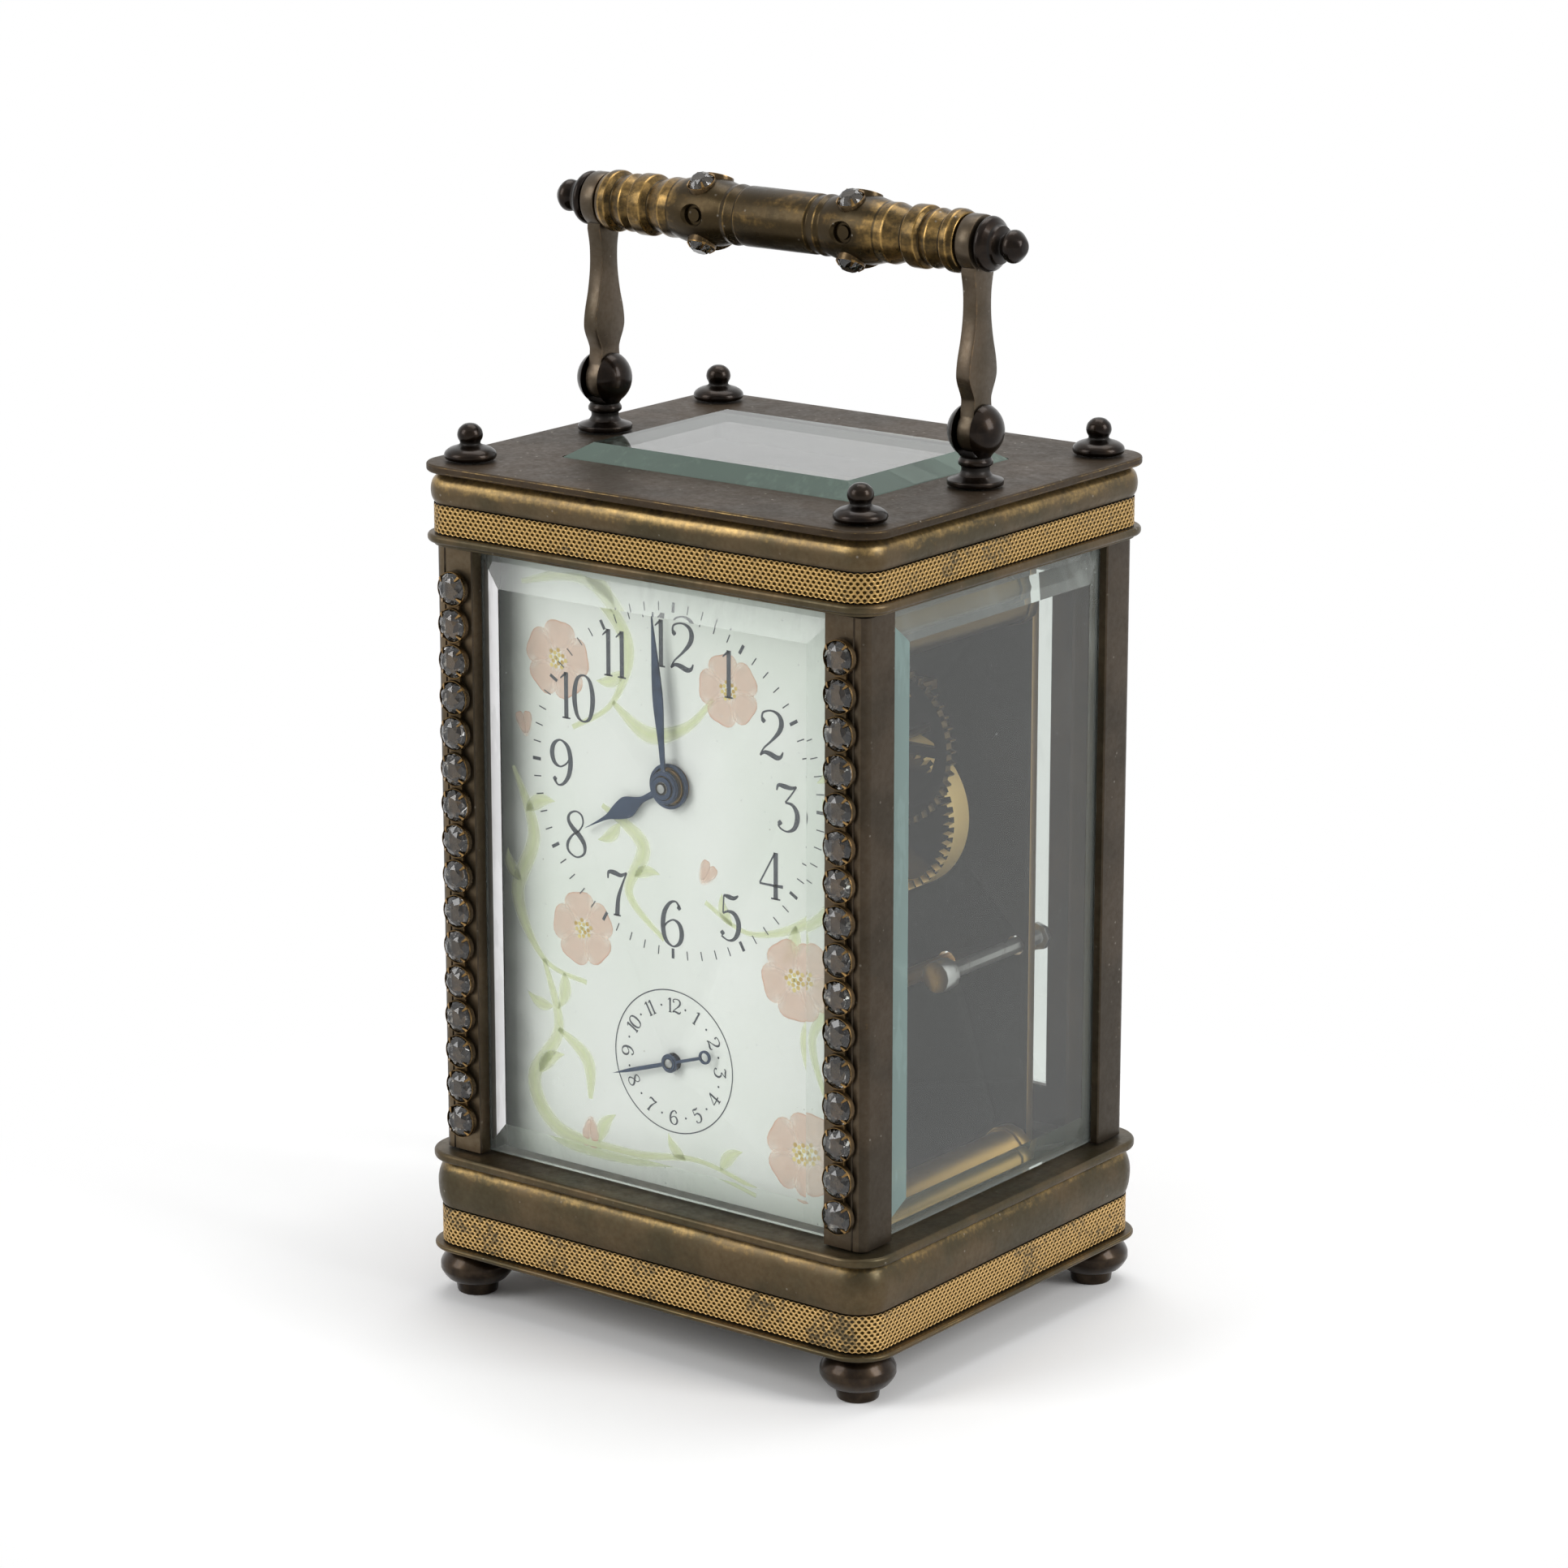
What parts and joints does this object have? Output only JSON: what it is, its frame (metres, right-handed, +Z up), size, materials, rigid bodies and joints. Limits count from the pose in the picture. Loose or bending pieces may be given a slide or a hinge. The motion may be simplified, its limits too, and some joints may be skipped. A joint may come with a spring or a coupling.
{
  "type": "carriage clock",
  "caption": "Glazed brass carriage clock on bun feet, with a folding turned handle, stone-set front posts, an alarm dial, a hinged rear door and its movement.",
  "frame": {"origin": "on the ground, under the middle of the case", "axes": "+Z up, the dial faces -Y, +X to the right seen from the front"},
  "size_m": [0.0774, 0.0666, 0.1557],
  "materials": {
    "patinated_brass": "dark brown patina, worn brighter on the edges",
    "gilt_brass": "worn gilding",
    "dark_bronze": "smooth dark bronze patina",
    "movement_brass": "lacquered brass",
    "steel": "polished steel",
    "blued_steel": "fire-blued steel",
    "bevelled_glass": "clear, bevelled at the edges",
    "porcelain": "white glaze with painted numbers and sprays",
    "stone_settings": "clear paste stones in gilt claw cups"
  },
  "bodies": {
    "case": {"base_plate": "patinated_brass", "base_moulding": "patinated_brass", "crown_lip": "patinated_brass", "crown_moulding": "patinated_brass", "top_plate": "patinated_brass", "corner_post_front_left": "patinated_brass", "corner_post_front_right": "patinated_brass", "corner_post_rear_left": "patinated_brass", "corner_post_rear_right": "patinated_brass", "base_band": "gilt_brass", "crown_band": "gilt_brass", "foot_front_left": "dark_bronze", "foot_front_right": "dark_bronze", "foot_rear_left": "dark_bronze", "foot_rear_right": "dark_bronze", "finial_front_left": "dark_bronze", "finial_front_right": "dark_bronze", "finial_rear_left": "dark_bronze", "finial_rear_right": "dark_bronze", "handle_post_left": "dark_bronze", "handle_post_right": "dark_bronze", "front_plate": "movement_brass", "back_plate": "movement_brass", "platform": "movement_brass", "balance_cock": "movement_brass", "handle_pin_left": "steel", "handle_pin_right": "steel", "bell": "steel", "hairspring": "blued_steel", "front_glass": "bevelled_glass", "left_glass": "bevelled_glass", "right_glass": "bevelled_glass", "top_glass": "bevelled_glass", "dial": "porcelain", "jewel_chain_left": "stone_settings", "jewel_chain_right": "stone_settings"},
    "handle": {"handle_arm_left": "patinated_brass", "handle_arm_right": "patinated_brass", "handle_bar": "gilt_brass", "handle_knob_left": "dark_bronze", "handle_knob_right": "dark_bronze"},
    "rear_door": {"rear_door_frame": "patinated_brass", "rear_door_glass": "bevelled_glass", "door_knob": "dark_bronze"},
    "centre_arbor": {"centre_wheel": "movement_brass", "cannon_pinion": "steel", "minute_hand": "blued_steel"},
    "hour_arbor": {"hour_wheel": "movement_brass", "hour_hand": "blued_steel"},
    "minute_wheel": {"minute_wheel": "movement_brass"},
    "going_barrel": {"going_barrel": "movement_brass"},
    "third_wheel": {"third_wheel": "movement_brass"},
    "contrate_wheel": {"contrate_wheel": "movement_brass"},
    "escape_wheel": {"escape_wheel": "steel"},
    "pallet_lever": {"pallet_lever": "steel"},
    "balance": {"balance_wheel": "movement_brass"},
    "barrel_arbor": {"barrel_arbor": "steel"},
    "alarm_hand": {"alarm_hand": "blued_steel"},
    "alarm_barrel": {"alarm_barrel": "movement_brass"},
    "alarm_hammer": {"alarm_hammer": "steel"}
  },
  "joints": [
    {"name": "handle_fold", "type": "hinge", "parent": "case", "child": "handle", "pos_m": [0, 0, 0.12535], "axis": [1, 0, 0], "range_deg": [-80, 80]},
    {"name": "rear_door_swing", "type": "hinge", "parent": "case", "child": "rear_door", "pos_m": [-0.0277, 0.0284, 0], "axis": [0, 0, 1], "range_deg": [0, 95]},
    {"name": "minute_hand_turn", "type": "hinge", "parent": "case", "child": "centre_arbor", "pos_m": [0, 0, 0.0777], "axis": [0, 1, 0], "continuous": true},
    {"name": "hour_hand_turn", "type": "hinge", "parent": "case", "child": "hour_arbor", "pos_m": [0, 0, 0.0777], "axis": [0, 1, 0], "continuous": true},
    {"name": "minute_wheel_turn", "type": "hinge", "parent": "case", "child": "minute_wheel", "pos_m": [-0.00864, 0, 0.0777], "axis": [0, 1, 0], "continuous": true},
    {"name": "going_barrel_turn", "type": "hinge", "parent": "case", "child": "going_barrel", "pos_m": [-0.007, 0, 0.06166], "axis": [0, 1, 0], "continuous": true},
    {"name": "third_wheel_turn", "type": "hinge", "parent": "case", "child": "third_wheel", "pos_m": [0.0133, 0, 0.08], "axis": [0, 1, 0], "continuous": true},
    {"name": "contrate_wheel_turn", "type": "hinge", "parent": "case", "child": "contrate_wheel", "pos_m": [0.009, 0, 0.068], "axis": [0, 1, 0], "continuous": true},
    {"name": "escape_wheel_turn", "type": "hinge", "parent": "case", "child": "escape_wheel", "pos_m": [0.009, 0.00809, 0], "axis": [0, 0, 1], "continuous": true},
    {"name": "pallet_lever_rock", "type": "hinge", "parent": "case", "child": "pallet_lever", "pos_m": [0.00534, 0.00439, 0], "axis": [0, 0, 1], "range_deg": [-8, 8]},
    {"name": "balance_swing", "type": "hinge", "parent": "case", "child": "balance", "pos_m": [0.001, 0, 0], "axis": [0, 0, 1], "range_deg": [-135, 135], "stiffness_Nm_per_rad": 0.000008},
    {"name": "barrel_winding", "type": "hinge", "parent": "case", "child": "barrel_arbor", "pos_m": [-0.007, 0, 0.06166], "axis": [0, 1, 0], "continuous": true},
    {"name": "alarm_hand_set", "type": "hinge", "parent": "case", "child": "alarm_hand", "pos_m": [0, 0, 0.0392], "axis": [0, 1, 0], "continuous": true},
    {"name": "alarm_winding", "type": "hinge", "parent": "case", "child": "alarm_barrel", "pos_m": [0.0135, 0, 0.0455], "axis": [0, 1, 0], "continuous": true},
    {"name": "alarm_hammer_strike", "type": "hinge", "parent": "case", "child": "alarm_hammer", "pos_m": [0.025, 0, 0.05], "axis": [0, -1, 0], "range_deg": [0, 14]}
  ],
  "couplings": [
    {"joint": "hour_hand_turn", "follows": "minute_hand_turn", "ratio": 0.083333},
    {"joint": "minute_wheel_turn", "follows": "minute_hand_turn", "ratio": -0.33333},
    {"joint": "going_barrel_turn", "follows": "minute_hand_turn", "ratio": -0.16667},
    {"joint": "third_wheel_turn", "follows": "minute_hand_turn", "ratio": -8},
    {"joint": "contrate_wheel_turn", "follows": "minute_hand_turn", "ratio": 60},
    {"joint": "escape_wheel_turn", "follows": "minute_hand_turn", "ratio": -480}
  ]
}
